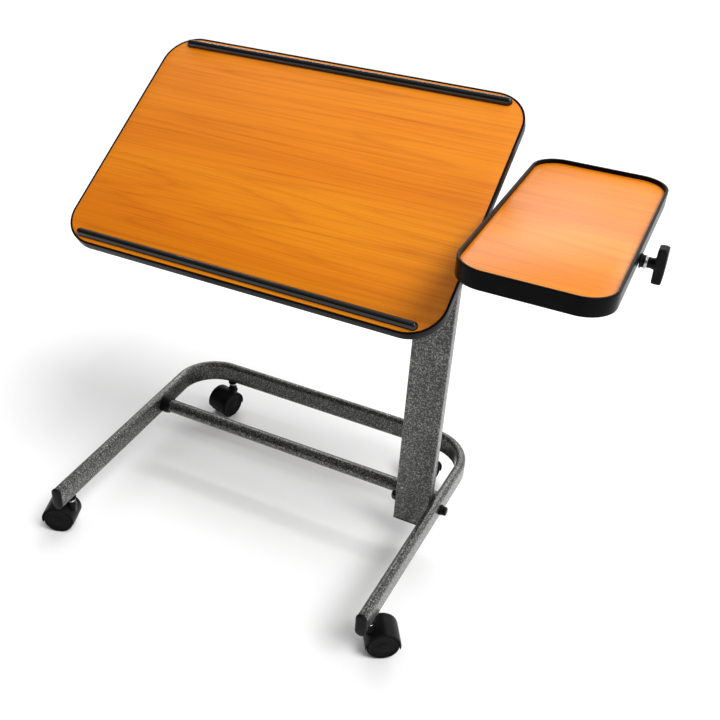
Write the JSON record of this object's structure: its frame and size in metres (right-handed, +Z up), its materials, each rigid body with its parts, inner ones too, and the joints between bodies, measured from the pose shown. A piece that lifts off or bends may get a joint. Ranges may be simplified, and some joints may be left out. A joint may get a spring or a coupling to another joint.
{
  "type": "overbed table",
  "caption": "Wheeled overbed table with a U-shaped tube base, a telescopic mast, a tilting laminate top with book rails and a level side tray.",
  "frame": {"origin": "on the floor under the centre of the whole table's bounding box", "axes": "+X to the side tray, +Y away from the user towards the rear bar, +Z up"},
  "size_m": [0.8484, 0.5072, 0.7196],
  "materials": {
    "hammered_paint": "hammered silver-vein powder coat, charcoal with a fine light speckle",
    "black_plastic": "satin moulded plastic with a fine mould grain",
    "gloss_black": "glossy extruded plastic",
    "edge_band": "satin black edge moulding with a rounded face",
    "cherry_laminate": "semi-gloss cherry wood-grain laminate, grain along the long side of the main top",
    "zinc_steel": "bright zinc plate with fine turning marks",
    "caster_wheel": "satin black nylon tread and disc"
  },
  "bodies": {
    "base": {"base_frame": "hammered_paint", "leg_cap_left": "black_plastic", "leg_cap_right": "black_plastic", "crossbar": "hammered_paint", "crossbar_saddle": "black_plastic", "mast_outer": "hammered_paint", "mast_foot_plug": "black_plastic", "mast_guide_collar": "black_plastic", "mast_bolt": "zinc_steel", "mast_bolt_cap": "gloss_black", "mast_bolt_nut": "black_plastic", "height_clamp_nut": "hammered_paint", "caster_front_left_socket": "black_plastic", "caster_front_right_socket": "black_plastic", "caster_rear_left_socket": "black_plastic", "caster_rear_right_socket": "black_plastic"},
    "lift": {"mast_inner": "hammered_paint", "mast_inner_glide": "black_plastic", "head_bracket": "hammered_paint", "pivot_tube": "zinc_steel", "tray_bracket": "hammered_paint", "tray_rim": "edge_band", "tray_board": "cherry_laminate", "clamp_bushing": "black_plastic"},
    "main_top": {"top_board": "cherry_laminate", "top_edge_band": "edge_band", "top_rail_front": "gloss_black", "top_rail_rear": "gloss_black", "top_bracket": "hammered_paint"},
    "tilt_clamp": {"clamp_screw": "zinc_steel", "clamp_washer": "zinc_steel", "clamp_handle": "black_plastic"},
    "height_clamp": {"height_knob": "black_plastic", "height_knob_screw": "zinc_steel"},
    "caster_front_left": {"caster_front_left_stem": "zinc_steel", "caster_front_left_hood": "black_plastic", "caster_front_left_axle": "zinc_steel"},
    "wheels_front_left": {"caster_front_left_wheel_a": "caster_wheel", "caster_front_left_wheel_b": "caster_wheel"},
    "caster_front_right": {"caster_front_right_stem": "zinc_steel", "caster_front_right_hood": "black_plastic", "caster_front_right_axle": "zinc_steel"},
    "wheels_front_right": {"caster_front_right_wheel_a": "caster_wheel", "caster_front_right_wheel_b": "caster_wheel"},
    "caster_rear_left": {"caster_rear_left_stem": "zinc_steel", "caster_rear_left_hood": "black_plastic", "caster_rear_left_axle": "zinc_steel"},
    "wheels_rear_left": {"caster_rear_left_wheel_a": "caster_wheel", "caster_rear_left_wheel_b": "caster_wheel"},
    "caster_rear_right": {"caster_rear_right_stem": "zinc_steel", "caster_rear_right_hood": "black_plastic", "caster_rear_right_axle": "zinc_steel"},
    "wheels_rear_right": {"caster_rear_right_wheel_a": "caster_wheel", "caster_rear_right_wheel_b": "caster_wheel"}
  },
  "joints": [
    {"name": "lift_slide", "type": "slide", "parent": "base", "child": "lift", "axis": [0, 0, 1], "range_m": [0, 0.26]},
    {"name": "top_tilt", "type": "hinge", "parent": "lift", "child": "main_top", "pos_m": [0.1411, 0.03019, 0.5557], "axis": [1, 0, 0], "range_deg": [-78.7, 11.3]},
    {"name": "tilt_clamp_turn", "type": "hinge", "parent": "lift", "child": "tilt_clamp", "pos_m": [0.4008, 0.02389, 0.6004], "axis": [1, 0, 0], "range_deg": [0, 360]},
    {"name": "height_clamp_turn", "type": "hinge", "parent": "base", "child": "height_clamp", "pos_m": [0.1411, 0.05559, 0.466], "axis": [0, 1, 0], "range_deg": [0, 360]},
    {"name": "front_left_swivel", "type": "hinge", "parent": "base", "child": "caster_front_left", "pos_m": [-0.3708, -0.21541, 0.06], "axis": [0, 0, 1], "continuous": true},
    {"name": "front_left_roll", "type": "hinge", "parent": "caster_front_left", "child": "wheels_front_left", "pos_m": [-0.38959, -0.22225, 0.025], "axis": [0.342, -0.9397, 0], "continuous": true},
    {"name": "front_right_swivel", "type": "hinge", "parent": "base", "child": "caster_front_right", "pos_m": [0.17241, -0.21541, 0.06], "axis": [0, 0, 1], "continuous": true},
    {"name": "front_right_roll", "type": "hinge", "parent": "caster_front_right", "child": "wheels_front_right", "pos_m": [0.18946, -0.20496, 0.025], "axis": [-0.5225, 0.8526, 0], "continuous": true},
    {"name": "rear_left_swivel", "type": "hinge", "parent": "base", "child": "caster_rear_left", "pos_m": [-0.3112, 0.20059, 0.06], "axis": [0, 0, 1], "continuous": true},
    {"name": "rear_left_roll", "type": "hinge", "parent": "caster_rear_left", "child": "wheels_rear_left", "pos_m": [-0.3162, 0.18123, 0.025], "axis": [0.9681, -0.2504, 0], "continuous": true},
    {"name": "rear_right_swivel", "type": "hinge", "parent": "base", "child": "caster_rear_right", "pos_m": [0.1128, 0.20059, 0.06], "axis": [0, 0, 1], "continuous": true},
    {"name": "rear_right_roll", "type": "hinge", "parent": "caster_rear_right", "child": "wheels_rear_right", "pos_m": [0.10435, 0.18247, 0.025], "axis": [0.9063, -0.4226, 0], "continuous": true}
  ]
}
